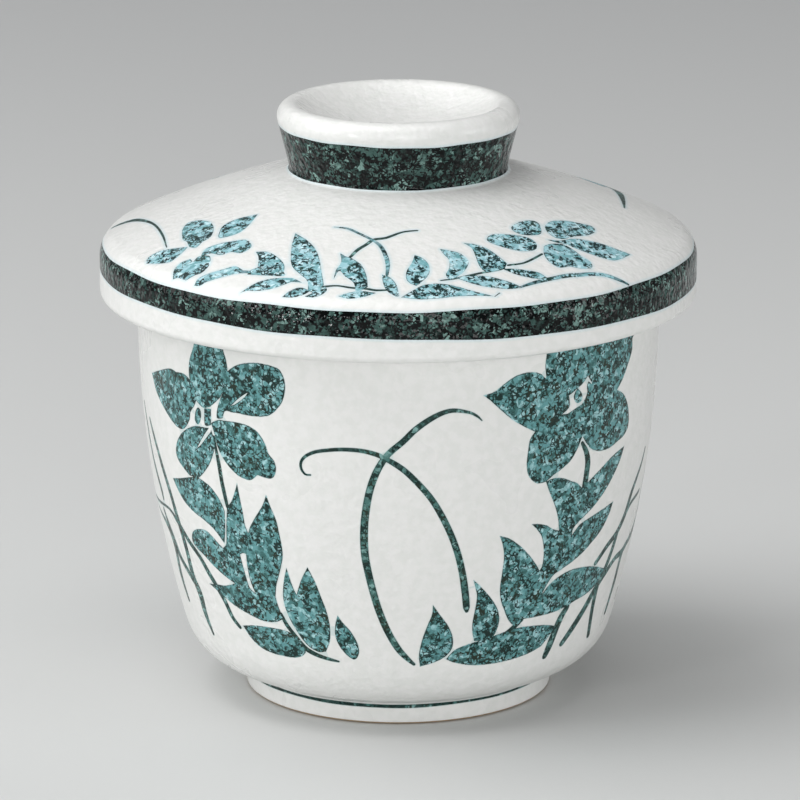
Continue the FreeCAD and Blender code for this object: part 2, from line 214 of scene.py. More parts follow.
def cup_section():
    """From the middle of the hollow under the foot, round to the middle of the floor."""
    slope = radians(BASE_ANGLE)
    foot = CUP_RADIUS - TAPER - OVERHANG
    hip_out = CUP_RADIUS - TAPER - HIP_ROUND
    hip_rise = (FOOT_HEIGHT + (OVERHANG - HIP_ROUND) * tan(slope)
                + HIP_ROUND / cos(slope))
    wall_turn = CUP_HEIGHT - UPRIGHT
    drop = wall_turn - hip_rise
    curve = (TAPER * (TAPER + 2 * HIP_ROUND) + drop ** 2) / (2 * TAPER)
    hip_lean = asin(drop / (curve - HIP_ROUND))
    root_rise = FOOT_HEIGHT + FOOT_ROOT * (tan(slope) - 1 / cos(slope))
    base_out = foot + FOOT_ROOT * (1 - sin(slope))
    base_run = (hip_out + HIP_ROUND * sin(slope) - base_out) / cos(slope)

    section = Section(0, FOOT_RECESS, 0)
    run, bend, mark = section.run, section.bend, section.mark
    run(foot - FOOT_RING - RECESS_CORNER)
    bend(-RECESS_CORNER, 90)
    run(FOOT_RECESS - RECESS_CORNER - FOOT_EDGE)
    bend(FOOT_EDGE, 90 - BARE_EDGE)
    mark("bare_start")
    bend(FOOT_EDGE, BARE_EDGE)
    run(FOOT_RING - 2 * FOOT_EDGE)
    bend(FOOT_EDGE, BARE_EDGE)
    mark("bare_end")
    bend(FOOT_EDGE, 90 - BARE_EDGE)
    mark("patch_start")
    run(root_rise - FOOT_EDGE)
    bend(-FOOT_ROOT, 90 - BASE_ANGLE)
    run(base_run)
    bend(HIP_ROUND, 90 - BASE_ANGLE - degrees(hip_lean))
    bend(curve, degrees(hip_lean))
    run(UPRIGHT - LIP_ROUND)
    mark("patch_end")
    bend(LIP_ROUND, 90)
    run(WALL - 2 * LIP_ROUND)
    bend(LIP_ROUND, 90)
    run(UPRIGHT - LIP_ROUND)

    inner = curve - WALL
    floor = FOOT_RECESS + FLOOR
    floor_lean = asin((wall_turn - floor - FLOOR_CORNER) / (inner - FLOOR_CORNER))
    bend(-inner, degrees(floor_lean))
    bend(-FLOOR_CORNER, 90 - degrees(floor_lean))
    run(section.end[0])
    return section


def lid_section():
    """From the middle of the hollow's ceiling, round to the middle of the knob's dish."""
    seat = CUP_HEIGHT
    reach = CUP_RADIUS - WALL - SEAT_LAP
    side_top = SKIRT_LOW + SIDE_HEIGHT
    out = LID_RADIUS - SHOULDER + ARCH_OFFSET
    rise = seat + ARCH_HEIGHT - side_top
    dome = (out ** 2 + rise ** 2 - SHOULDER ** 2) / (2 * (rise - SHOULDER))
    centre = seat + ARCH_HEIGHT - dome
    shoulder_lean = atan2(side_top - centre, out)

    sag = HOLLOW_HEIGHT - HOLLOW_SIDE
    ceiling = (reach ** 2 + sag ** 2) / (2 * sag)
    corner_lean = acos((reach - HOLLOW_CORNER) / (ceiling - HOLLOW_CORNER))
    corner_rise = (seat + HOLLOW_HEIGHT - ceiling
                   + (ceiling - HOLLOW_CORNER) * sin(corner_lean))

    flare = radians(KNOB_ANGLE)
    rim_out, rim_up = KNOB_RADIUS - KNOB_RIM, LID_TOP - KNOB_RIM
    sink = rim_up - (LID_TOP - DISH_DEPTH)
    bowl = (rim_out ** 2 + sink ** 2 - KNOB_RIM ** 2) / (2 * (KNOB_RIM + sink))
    bowl_lean = asin(rim_out / (bowl + KNOB_RIM))
    root_out = rim_out + (KNOB_RIM + KNOB_ROOT) * cos(flare) + ARCH_OFFSET
    root_up = rim_up - (KNOB_RIM + KNOB_ROOT) * sin(flare) - centre
    lead = root_out * sin(flare) + root_up * cos(flare)
    beyond = root_out ** 2 + root_up ** 2 - (dome + KNOB_ROOT) ** 2
    flank = lead - sqrt(lead ** 2 - beyond)
    root_lean = atan2(root_up - flank * cos(flare), root_out - flank * sin(flare))

    section = Section(0, seat + HOLLOW_HEIGHT, 0)
    run, bend, mark = section.run, section.bend, section.mark
    bend(-ceiling, 90 - degrees(corner_lean))
    bend(-HOLLOW_CORNER, degrees(corner_lean))
    run(corner_rise - seat - SEAT_EDGE)
    bend(SEAT_EDGE, 90)
    run(LID_RADIUS - SKIRT_WALL - SKIRT_ROOT - reach - SEAT_EDGE)
    bend(-SKIRT_ROOT, 90)
    run(seat - SKIRT_LOW - SKIRT_ROOT - SKIRT_EDGE)
    bend(SKIRT_EDGE, 90)
    run(SKIRT_WALL - 2 * SKIRT_EDGE)
    bend(SKIRT_EDGE, 90)
    mark("patch_start")
    run(SIDE_HEIGHT - SKIRT_EDGE)
    bend(SHOULDER, degrees(shoulder_lean))
    bend(dome, degrees(root_lean - shoulder_lean))
    mark("dome_end")
    bend(-KNOB_ROOT, degrees(root_lean) + KNOB_ANGLE)
    mark("root_end")
    run(flank)
    mark("patch_end")
    bend(KNOB_RIM, 90 + KNOB_ANGLE + degrees(bowl_lean))
    bend(-bowl, degrees(bowl_lean))
    return section


def photo_ray(pixel):
    """Where the camera is and its direction through a pixel, in millimetres."""
    across = (pixel[0] - PHOTO_AXIS) / PHOTO_FOCUS
    above = (PHOTO_LEVEL - pixel[1]) / PHOTO_FOCUS
    fall, reach = sin(CAMERA_RISE), cos(CAMERA_RISE)
    eye = Vector((0, -CAMERA_DISTANCE * reach, CAMERA_TARGET + CAMERA_DISTANCE * fall))
    return eye, Vector((across, reach + above * fall, above * reach - fall)).normalized()


def spline(points, step, before=None, after=None):
    """Points along a smooth line through the given ones, which may hold a width too.

    before and after are points that it comes from and goes on to.
    """
    if len(points) == 2:
        points = [points[0], (points[0] + points[1]) / 2, points[1]]
    before = 2 * points[0] - points[1] if before is None else before
    after = 2 * points[-1] - points[-2] if after is None else after
    ends = [before, *points, after]
    line = []
    for p, start, end, q in zip(ends, ends[1:], ends[2:], ends[3:]):
        count = max(1, round(float(np.hypot(*(end - start)[:2])) / step))
        for part in np.arange(count) / count:
            bend = (2 * p - 5 * start + 4 * end - q) + part * (3 * start - p - 3 * end + q)
            line.append(start + part / 2 * (end - p + part * bend))
    return line + [points[-1]]


def shapes(text):
    """The words of each shape in a text, where an empty line parts the shapes."""
    return [shape.split() for shape in text.strip().split("\n\n")]


def numbers(word):
    return np.array([float(number) for number in word.split(",")])


def outline_pixels(words):
    """The closed outline that a shape's words give, where a bar ends each corner's word."""
    points, corners = [], []
    for word in words:
        points.append(numbers(word.rstrip("|")))
        if word.endswith("|"):
            corners.append(len(points) - 1)
    if not corners:
        return spline(points + points[:1], OUTLINE_STEP, points[-1], points[1])[:-1]
    line = []
    for start, end in zip(corners, corners[1:] + [corners[0] + len(points)]):
        run = [points[i % len(points)] for i in range(start, end + 1)]
        line += spline(run, OUTLINE_STEP)[:-1]
    return line


def sideways(line):
    """For each point of a line, the direction square to it."""
    sides = []
    for before, after in zip([line[0], *line[:-1]], [*line[1:], line[-1]]):
        ahead = (after - before)[:2]
        sides.append(np.array([-ahead[1], ahead[0]]) / max(NEAR_ZERO, float(np.hypot(*ahead))))
    return sides


def round_end(end, start, last, least):
    """Points round the end of a stroke between its two sides, or none if it is thin."""
    out = (start - last) / 2
    if np.hypot(*out) < least:
        return []
    ahead = np.array([out[1], -out[0]])
    return [end[:2] + out * cos(turn) + ahead * sin(turn) for turn in END_TURNS]


def stroke_outline(middle, least):
    """The closed outline of a brush stroke from its middle line, whose points hold a width."""
    left, right = [], []
    for point, side in zip(middle, sideways(middle)):
        left.append(point[:2] + side * point[2] / 2)
        right.append(point[:2] - side * point[2] / 2)
    return np.array(left + round_end(middle[-1], left[-1], right[-1], least)
                    + right[::-1] + round_end(middle[0], right[0], left[0], least))


# The painted pattern. Each outline is a closed line through given pixels of
# the photograph, and a bar after a point makes it a corner. A stroke has its
# width in pixels after each point. An empty line ends a shape.
FLOWER_AND_LEAVES = """
197,328 193.5,346 189.5,360 189,374 191.5,388 196,400 203,407.5 210,407| 220,398| 225,387
227.5,373 226,360 223,349 222,328

152,373| 161,370 170,368.5 176,372| 183,373.5 190,380 197,392 195,404 190.5,412 189.5,420
184.5,428.5 179,428 173,422 167,413 160,400 155.5,388

226,374 231,368.5 239,364.5 252,362.8 264,364.2 273,366.5 279.5,370 284,379 285,390 282,402
276,410 270,414.8 263,416.5 251,416 239,413.5 231,412 225,411 222.5,418.5| 217,418 217.5,408
220.4,398| 224,388

204.5,427.5| 195,426 185,430 178.5,438 176,449 178,459 184.5,469 190,475.5| 198,479| 203,473.5
209,465 213.5,453 215,443 212.5,434| 210,428.5

211,423| 218,420 226,421 239,423 250.5,427 259,434 265,444 268.6,454 274,461 276,468.5
274.5,475.5 271,478.5 264.5,477.5 257.5,475| 250,480 239,476 229,466.5 221.5,455.5 217,445
214.5,434

173,478.4| 183,478 195,477 202,480 210,486.5 217,495.5 222,504.5 224.6,511| 225.3,527
224.6,543.5| 220,537 213,528 203,519 193,511 184,500.5 178,489.5

237,483.4| 240,499 243,513.5 245,525 248.2,533| 250.5,526 256,516 262.5,505.5 266,495| 270.5,507
276,520 279.5,535 282,547.5 282.6,558 280,571 276.5,585 275.5,597| 279,608 284,619| 275,622
264,621 253.5,616.5 243.5,611 235,605.5 227,599 218,591 209.5,583.5| 217,584.5 226,585.5
235,583.5| 225,576 215,567 204.5,555.5 195.5,546 192,538 193.5,531 199,529 206,530.6 212,536
218,543 223,548| 226.3,543 226.3,526 227,507| 231.5,501 234.5,493

243,625.5| 255,625.5 267,627 279,629 287.5,631.5 295.5,635.5 301.5,643 306,652| 302,656
294,657.5 282,655.5 271,652.5 260,646.5 251,637.5

286.4,568| 289,576 293,587.5 296.6,594.6| 299,586.5 302,578 307.4,567.4| 311,574 315.5,583
321,597 326.5,611.5 330,627 329.8,641 326,651.5| 319,652 311,648 303,640 295,628 289,617
284.5,604.5 283,593 284,580

337.6,615.6| 343,623 351,632 357.5,643.5 359,653 355,659.5 347.5,655.5 339.5,646 335.3,635.5
335.3,625

483.6,395.6| 495,391.5 505,383.5 515,376.5 525,373 535,372.3 542,374.5| 546,378 545.4,366
547,352 549,333| 634,320 632.4,338.5 632,350 628,364 623,378 617,390| 623,393.5 627,402
628.7,414 628,426 623.5,435.5 617,441.5 609,448 599,451 591,448.5 586,442.5 582.5,436| 581,440|
578,447.5 571,460 561,469.5 553,475.5 545,482 535.5,482.8 528.5,475 526.8,464.5 528,452 530,440
535,431.6| 525,427 513,420 501,410 491,401

546,481.6| 553.5,478.4 563,478.2 571,481 577,483 582,488| 591,479 601,468.5 613,455.5 624.2,446|
620,460 613,476 605,490.5 595,504.5 585,515.5 577.5,523 573,529 572,535| 575.5,530 581,523.5
593,515.5 605,507.5 613.2,501.3| 609,514 601,530 591,543 581,554 569,564 555,573.5| 551,578
545,588 541.6,595| 538,600 530,590 537,575 542,566 543.6,556 543.5,546 541.5,536 537,529.5
532,524.3| 539,524 547,525.6 552.5,529 559,530.5| 558,518 555,506 549,490.5

500,536| 509,538.5 519,545 529,555 537,566 541,574| 545,582 541.8,594.5| 549,585 559,576.5
571,570 583,567 595,566.4 605,568.5| 601,576 595,585.5 585,594.5 575,600.5 565,607 555,611.5
545,614.5 533,617.3 523,619| 516,626 509,621 504.5,611 500.8,600 500,588 502,574 504,558 503,546

473.6,580| 481,587 490,597 496.5,607 499.2,616.5 498,626 493,636.5 485,640.5 474,641| 472.4,632
472.6,622 475,610 477,596.5 475.5,588

446,659| 455,650 469,644 485,639 501,633.2 515,628.3 531,626 547,625 555,626| 553,630 547,638.5
541,646| 531,652 519,657 505,661 489,664 473,665.2 459,663.5 451,661.5

433,605| 440.5,615.5 448.5,626.5 452.8,638 452,648 446,656 435,662 420,666.6| 419,655 422,640.5
427.3,626 432,614.5
"""

STEMS_AND_GRASS = """
214,437,2.3 216,449,2.7 219,465,3.5 221.5,480,3.5 224.5,494,3.5 227.5,507,3

281,614,3 287,625,3.5 295.5,636,3.5 305,647.5,4 312,652.5,4 321,656.5,3.5 331,659.5,3
338.6,661.5,1.9

144.5,402,1.4 147.5,423,1.7 153,455,1.9 161,487,1.9 163.5,498,1.5

150,419,1.4 157,447,2 165,475,2.3 171,495,2.5 178.5,521,2.8 186,547,3 193,575,3.2 200,593,4
205.5,613,3.2 213.5,634,1.5

156,493,1.5 167.5,507,2.2 178.5,523,2.6 189,541,2.8 200,557,3 209,573,3.4 216,585,3.4
225,601,3.2 232.5,617,3 240,627,2.6

157,501,1.5 167,523,2 175,545,2.3 181,573,2.3 189,599.5,1.5

164,509,1.5 173,535,2 180,555,2.3 189,572,2.6 199,589,2.6

310.4,475,1.7 305,474,2 301,468,2.6 301.5,461,3 307.5,455,3.4 319,451.2,3.6 339,449.4,4
359,450.6,4.4 375,454,4.8 386,459,5 397,465.5,5.6 407,473,6 419,484.5,6.2 431,498.5,6.4
441,514.5,6.6 450,532.5,6.6 457,551,6.8 462,571,7 465,591,7.4 466.5,608,6.8 466.7,611,4

482,420.5,1.4 477,416,2.3 469,412.4,3 455,410.6,4 443,413,4.6 429,420,5.6 415,430,6
403,441.5,6.4 391,451.5,6.6 383,461,6.8 375,475.5,7.4 369,493.5,7.6 365.3,515,7.8 364,535,8
365,555,7.8 368,571.5,7.4 373,591.5,7.2 379,611,7 387.5,631,6.8 397.5,648,6.4 405.5,657,5.4
414,664.5,3

582.3,443,3.5 586.3,452,5 587.8,462,5.2 586.5,474,5 584.5,487,5

521,619,5 515,626,4.5 508,632,4 498,638.5,3

567,607,4 561,617,5 555.3,630,5.4 549.5,645,5.6 544.5,656.5,4

645,448,1.3 642,461,1.7 636.5,478,2 631,494,2.3 625,514,2.5 617,532,2.9 607,546,2.9 595.5,563,3

650.8,448,1.3 648,466,1.5 642,490,1.8 636,515,2 632,531,2.2 623,549,2.3 614,582,2.3 605,612,1.8

639,490,1.4 632,501,1.8 625,514,2.2

640,506,1.4 633.5,524,1.8 623,549,2.5 615,558,2.9 605,573,3 595.5,588,3.4 584,609,3.8
573.5,626,4.2 561.5,643.5,3.6

617,533,2.3 612.5,548,2.5 606,566,2.6 598,584,2.8 592.5,607,3 588,635.5,2.6
"""

# Bare slits and hearts inside the painted shapes.
BARE_SHAPES = """
231,406| 238,399 244.5,394.3| 247.5,393| 244.5,397 237,403

197,448| 203,437 209.5,427| 211,431 206,438 201,444.5

240,554.5| 243,553 246,554| 247.5,567 250.5,581 255.5,593.5| 249.5,587 245,573

562,414.5| 569,407.5 569.6,400 569,395.5| 576,390 583.5,382.5 588,376| 592,383| 588,390
585.5,398 581.5,404.5| 574,409.5 568,413.5

594,330| 593,340| 597,330
"""

STAMENS = """
198,407.4 201,412 200.6,420 198,424.4 195,420 195.4,412

204,408| 211,409| 211,425| 205,425

578,388| 582,394 581.5,400.5 577,403 573.8,398 575,392.5

588.5,381| 591.5,384 591.5,389| 587.5,391.5| 587,386
"""

LID_LEAVES = """
182,235 183,228.5 189,222.4 200.4,220.4 210.6,222.4 213.7,228.6 210.6,236.7 202.4,241.8|
196,247.5 189,247| 187,241.8| 183,239.8

219,237.8 220,230.6 225,224.5 239,218.4 257.6,214.3| 250.4,223.5 241,231.6 231,235.7

200.4,257| 205.5,249 218.8,243.9 231,241.4 245.3,239.8 251,243.9 250.4,248 241,253 231,252
220.8,255 210.6,253.5

146.3,263.5| 148,258 159.6,251.3 171.8,248.8 188,246.8| 183,252 176,258 169.8,262 159.6,263.6

172.9,279.6| 173.9,270.4 180,263.3 190.2,259| 193,262| 199,256.5 209.6,256 209.6,264.3
202.4,272.4 194.3,275.5 186,280.6| 178,278

194.3,285.7| 198.4,278.6 208.6,273.5 222.9,269.4 235,266.3 243.3,270.4| 257,271| 257,273.5|
239,273.5 222.9,277 206.5,282 200.4,285.7

256,252| 265.7,251.6 276,256 284,264.3 284,272.4| 284,276 265,275.5 247.3,274.5| 250,270.5
257.6,267.5| 258.6,258

240.2,292.9| 249.4,286.7 259.6,281.6 273.9,278.4 292.2,278.2 302.4,282.7| 292,282 284,284.7
271.8,288.8 259.6,290.8 247.3,290.8

295.3,233.3| 306.5,239.8 314.7,248 319.2,258 321.8,272.4 323.9,284.7| 316,293 308,291| 307.3,281
300.4,274.5 292.2,266.3 290.8,256 292.2,243.9

282,297| 290.2,290.8 300.4,287.6 310.6,290.8| 303,295 292,297.5

304.5,296.5| 314.7,291.8 324.9,286| 327,290 322,294.5 313,297.5

340.2,253| 346,256.5 351.4,258 361.6,265.3 366.7,276.5 367.8,287| 360,291 355.5,290.8|
353.5,282.7 345.3,276.5| 339.2,271 333.7,278.8| 336,270 341.2,262

338,296.2| 349.4,292.6 361.6,291 375.9,292.9| 365.7,296.4 349.4,298.8

382,274.5| 390.2,277.6 396.3,284.7 399.4,296| 396,296.5 387,290.8 383,282.7

414.7,255| 422.4,258 428.6,264.3 429.6,272.4 425.5,278.6 419.4,283.7 416.3,286| 409,282.7
406,277.6 407,270.4 412.2,262

439.8,249| 449,250.4 459,253 467.3,259 468.4,264.3 463.3,272.4 455,278 449,280| 445.9,274.5
449,268.4 449,260 444,254.5

463.3,242.9| 475.5,244.5 487.8,249 498,256 507,263.3| 504,268.4 491.8,271.6 483.7,270.6
478.6,264.3 475.5,256 471.5,248

502,268.6| 514,268.8 526.5,270.2 538.8,272.6 547.5,278| 538.8,279 526.5,277 514.3,273.8

456,277.8| 471.4,275.3 487.8,276.5 502,279.6 514.3,283.7 522.8,287.8| 510.2,289 495.9,288
481.6,285.9 467.3,282

401,297.5| 412.2,290.8 424.5,284.9 440.8,283.7 457,286.5 471.4,290.6 494,296.2| 477.6,295.8
457,296.4 440.8,298.2 420.4,299.4

486.7,239.8 491.8,234.7 506,234.4 520.4,235.7 530.6,238.8 536.7,244.3 534.7,250 522.4,251.2
510.2,249 495.9,244.9

511.2,227.6 518.4,222.4 530.6,220.4 538.8,223.5 541.4,231.6 538.8,234.7 526.5,235.2 516.3,232.7

544.9,226.5 551,221.4 565.3,220.8 579.6,223.3 591.8,226.3 595,231.6 587.8,235.3 575.5,236.3
563.3,239 555,237.4 548,232.7

547,239.6| 560,240.5 573.5,238.6 587.8,240.6 602,243.9 616.3,249 631,254.6| 616.3,260.4
604,258.4 591.8,254.4 579.6,250 567.3,245 555,242.2

543.9,246| 551,243.7 563.3,244.4 573.5,250 581.6,256 590.8,262.2 591.5,268 581.6,268.6
569.4,266.5 559.2,267.5 549,261.4 543.9,254
"""

LID_STROKES = """
334,227,0.8 347.3,228.6,2 359.6,233.7,2.2 371.8,239.8,2.6 380,245.5,3.4 385,254,4.4
387.8,264.3,4.6 387,275,3

628.8,285,1.4 616.3,278.8,3 604,275,3.4 591.8,274,3.6 579.6,274.9,4 567.3,275.6,4 555,278,4
542.9,280.6,3.8 530.6,283.9,3 521,287,2
"""

LID_LINES = """
417.3,230.6,1.2 408,231.2,1.6 400,232.9,1.8 386,237.8,2.2 373.9,239.8,2.4 365.7,245,2.8
357.6,250,3 350.4,257,2.6

322.9,286.7,2 337,285.7,1.6 351.4,287.8,2 365.7,288.8,2 375.9,290.4,2 387,290,1.6

542,254,2.2 532.7,259.2,2 522.4,263.3,2 508,265.3,1.8

504,268,2 498,269.8,2 481.6,272.8,2 469.4,275.5,2 455,278.6,1.8 440.8,280.6,1

494.6,296.8,0.8 500,292.9,1
"""

# Strokes that run round the edge of the view, and so aren't repeated behind.
EDGE_STROKES = """
112.7,227.6,1.4 120.8,223.9,2.2 133,220.4,2.4 145.3,221,2.6 155.5,225.5,2.4 162.7,235.7,2.2
166.7,247.5,1.2

594.9,180.6,1.2 606,183.7,2.2 616.3,190.8,2.8 622.5,199,3.8 624.5,208,1.6
"""


class PaintedWall:
    """The painted stretch of a turned section, with a flat map of it that keeps its angles."""

    def __init__(self, section):
        self.section = section
        first, last = section.marks["patch_start"], section.marks["patch_end"]
        self.along = np.append(np.arange(first, last, TABLE_STEP), last)
        self.table = np.array([section.at(place) for place in self.along])
        radius = self.table[:, 0]
        turns = np.append(0, np.cumsum(2 * np.diff(self.along) / (radius[1:] + radius[:-1])))
        self.widens = radius[-1] > radius[0]
        self.flat_radius = np.exp(turns if self.widens else -turns)
        self.tree = self._cast_mesh()

    def _cast_mesh(self):
        rows = self.table[::CAST_ROWS]
        ring = np.linspace(0, 2 * pi, CAST_AROUND, endpoint=False)
        points = [(r * cos(a), r * sin(a), z) for r, z, _, _ in rows for a in ring]
        quads = []
        for row in range(len(rows) - 1):
            for i in range(CAST_AROUND):
                here = row * CAST_AROUND + i
                ahead = row * CAST_AROUND + (i + 1) % CAST_AROUND
                quads.append((here, ahead, ahead + CAST_AROUND, here + CAST_AROUND))
        return BVHTree.FromPolygons(points, quads)

    def cast(self, pixel):
        """Azimuth and place along the section of what a pixel shows.

        A pixel past the edge of the view is pulled in until it shows the wall.
        """
        across, down = pixel[0], pixel[1]
        hit = None
        while hit is None:
            eye, way = photo_ray((across, down))
            hit = self.tree.ray_cast(eye, way)[0]
            across += PULL_IN if across < PHOTO_AXIS else -PULL_IN
        away = (self.table[:, 0] - hypot(hit.x, hit.y)) ** 2 + (self.table[:, 1] - hit.z) ** 2
        nearest = int(np.clip(np.argmin(away), EDGE_ROWS, len(self.along) - 1 - EDGE_ROWS))
        return atan2(hit.y, hit.x), self.along[nearest]

    def laid_flat(self, pixels):
        """A line of pixels in the flat map."""
        places = np.array([self.cast(pixel) for pixel in pixels])
        return self.flat(places[:, 0], places[:, 1])

    def flat(self, azimuth, along):
        radius = np.interp(along, self.along, self.flat_radius)
        return np.stack([radius * np.cos(azimuth), radius * np.sin(azimuth)], axis=-1)

    def flat_scale(self, along):
        """How long a millimetre of the wall is in the flat map."""
        return np.interp(along, self.along, self.flat_radius / self.table[:, 0])

    def unflat(self, points):
        """Azimuth and place along the section of points in the flat map."""
        order = slice(None) if self.widens else slice(None, None, -1)
        radius = np.hypot(points[:, 0], points[:, 1])
        along = np.interp(radius, self.flat_radius[order], self.along[order])
        return np.arctan2(points[:, 1], points[:, 0]), along

    def solid(self, azimuth, along):
        """Points in millimetres, and their outward normals."""
        radius, height, out, up = (np.interp(along, self.along, part) for part in self.table.T)
        turn_x, turn_y = np.cos(azimuth), np.sin(azimuth)
        points = np.stack([radius * turn_x, radius * turn_y, height], axis=-1)
        normals = np.stack([out * turn_x, out * turn_y, up], axis=-1)
        return points, normals / np.linalg.norm(normals, axis=1, keepdims=True)

    def level(self, height):
        """The place along the section at a height."""
        return float(np.interp(height, self.table[:, 1], self.along))

    def lattice(self, step):
        """Staggered points all over the wall, a step apart."""
        places = []
        first, length = self.along[0], self.along[-1] - self.along[0]
        count = max(1, round(length / (step * ROW_SHARE)))
        for row in range(1, count):
            along = first + length * row / count
            radius = float(np.interp(along, self.along, self.table[:, 0]))
            around = max(LEAST_AROUND, round(2 * pi * radius / step))
            turn = 2 * pi / around
            places += [((i + row % 2 / 2) * turn - pi, along) for i in range(around)]
        return np.array(places)


def inside(points, loop):
    """Which points a closed line winds round, in the flat map."""
    low, high = loop.min(axis=0), loop.max(axis=0)
    near = np.flatnonzero(((points >= low) & (points <= high)).all(axis=1))
    found = np.zeros(len(points), dtype=bool)
    x, y = points[near, 0], points[near, 1]
    winding = np.zeros(len(near), dtype=int)
    for (x0, y0), (x1, y1) in zip(loop, np.roll(loop, -1, axis=0)):
        left = (x1 - x0) * (y - y0) - (x - x0) * (y1 - y0)
        winding += ((y0 <= y) & (y1 > y) & (left > 0)).astype(int)
        winding -= ((y0 > y) & (y1 <= y) & (left < 0)).astype(int)
    found[near] = winding != 0
    return found


def twice(loops):
    """The shapes, and the same again on the side away from the camera."""
    return loops + [-loop for loop in loops]


def outlines(wall, text):
    return [wall.laid_flat(outline_pixels(words)) for words in shapes(text)]


def strokes(wall, text):
    """Brush strokes as loops in the flat map, made wider there by at most STRETCH."""
    loops = []
    for words in shapes(text):
        pixels = [numbers(word) for word in words]
        places = np.array([wall.cast(pixel) for pixel in pixels])
        flat = wall.flat(places[:, 0], places[:, 1])
        scales = wall.flat_scale(places[:, 1]) * PIXEL
        middle = []
        for i, (side, flat_side) in enumerate(zip(sideways(pixels), sideways(flat))):
            pixel, brush = pixels[i][:2], pixels[i][2]
            ends = wall.laid_flat([pixel - side * brush / 2, pixel + side * brush / 2])
            width = min(abs(float((ends[1] - ends[0]) @ flat_side)), STRETCH * brush * scales[i])
            middle.append(np.array([*flat[i], width]))
        unit = float(np.mean(scales))
        loops.append(stroke_outline(spline(middle, OUTLINE_STEP * unit), BLUNT * unit))
    return loops


def ring_line(wall, height, waves, tilt=0.0):
    """A hand-drawn line round the wall at a height, as a loop in the flat map.

    tilt is the fall in millimetres over a millimetre to the right.
    """
    azimuth = np.linspace(-pi, pi, BAND_POINTS, endpoint=False)
    line = height - tilt * LID_RADIUS * np.cos(azimuth)
    for count, size, phase in waves:
        line = line + size * np.sin(count * azimuth + phase)
    return wall.flat(azimuth, np.array([wall.level(h) for h in line]))


GLAZE, LEAF, STROKE, BAND, BARE = range(5)


class Layer:
    """Closed lines that set one paint wherever they wind round the wall."""

    def __init__(self, paint, loops):
        self.paint = paint
        self.loops = loops

    def mark(self, points, paints):
        for loop in self.loops:
            paints[inside(points, loop)] = self.paint


class Ring(Layer):
    """Two lines right round the wall that set one paint between them."""

    def mark(self, points, paints):
        low, high = self.loops
        paints[inside(points, low) != inside(points, high)] = self.paint


def paints_at(points, layers):
    """The paint at each point of the flat map."""
    paints = np.full(len(points), GLAZE)
    for layer in layers:
        layer.mark(points, paints)
    return paints


def tree_of(points):
    tree = kdtree.KDTree(len(points))
    for i, point in enumerate(points):
        tree.insert(point, i)
    tree.balance()
    return tree


def how_far(tree, points):
    return np.array([tree.find(point)[2] for point in points])


def spread_points(wall, layers, loops):
    """Points of the flat map between the lines, close together in and near the paint."""
    near = tree_of(wall.solid(*wall.unflat(np.concatenate(loops)))[0])
    spread = []
    for step, painted in ((PLAIN_STEP, False), (PAINT_STEP, True)):
        places = wall.lattice(step)
        flat = wall.flat(places[:, 0], places[:, 1])
        away = how_far(near, wall.solid(places[:, 0], places[:, 1])[0])
        fine = (paints_at(flat, layers) != GLAZE) | (away < FINE_REACH)
        spread.append(flat[(fine == painted) & (away > NEAR_SHARE * step)])
    return spread


RING = np.arange(AROUND) * 2 * pi / AROUND - pi


def cut_wall(wall, layers):
    """The wall as triangles of the flat map, divided along every line of the layers.

    With the points and the triangles comes each point's number in the wall's
    first ring, or past those in its last ring, or -1.
    """
    rings = [wall.flat(RING, np.full(AROUND, wall.along[end])) for end in (0, -1)]
    loops = [loop for layer in layers for loop in layer.loops]
    edges, count = [], 0
    for loop in rings + loops:
        edges += [(count + i, count + (i + 1) % len(loop)) for i in range(len(loop))]
        count += len(loop)
    points = np.concatenate(rings + loops + spread_points(wall, layers, loops))
    made = geometry.delaunay_2d_cdt([Vector(p) for p in points], edges, [], 0, SAME_POINT)
    points = np.array([tuple(p) for p in made[0]])
    faces = np.array([tuple(face) for face in made[2]])
    on_ring = np.full(len(points), -1)
    for i, sources in enumerate(made[3]):
        for source in sources:
            if source < 2 * AROUND:
                on_ring[i] = source
    hole = 0 if wall.widens else 1
    in_hole = (on_ring[faces] // AROUND == hole).all(axis=1)
    return points, faces[~in_hole], on_ring


def paint_edges(points, faces, paints):
    """Points along the edges that part faces of two paints."""
    sides = np.concatenate([faces[:, [0, 1]], faces[:, [1, 2]], faces[:, [2, 0]]])
    sides.sort(axis=1)
    keys = sides[:, 0] * len(points) + sides[:, 1]
    order = np.argsort(keys, kind="stable")
    keys, paint = keys[order], np.tile(paints, 3)[order]
    parted = np.flatnonzero((keys[1:] == keys[:-1]) & (paint[1:] != paint[:-1]))
    ends = sides[order][parted]
    first, last = points[ends[:, 0]], points[ends[:, 1]]
    return np.concatenate([first, (first + last) / 2, last])


def facing_out(points, normals, faces):
    """The faces, with those that look inward turned round."""
    corners = points[faces]
    facing = np.cross(corners[:, 1] - corners[:, 0], corners[:, 2] - corners[:, 0])
    wrong = (facing * normals[faces].mean(axis=1)).sum(axis=1) < 0
    return np.where(wrong[:, None], faces[:, ::-1], faces)


def placed(name, data):
    """A new object in the scene."""
    made = bpy.data.objects.new(name, data)
    bpy.context.scene.collection.objects.link(made)
    return made


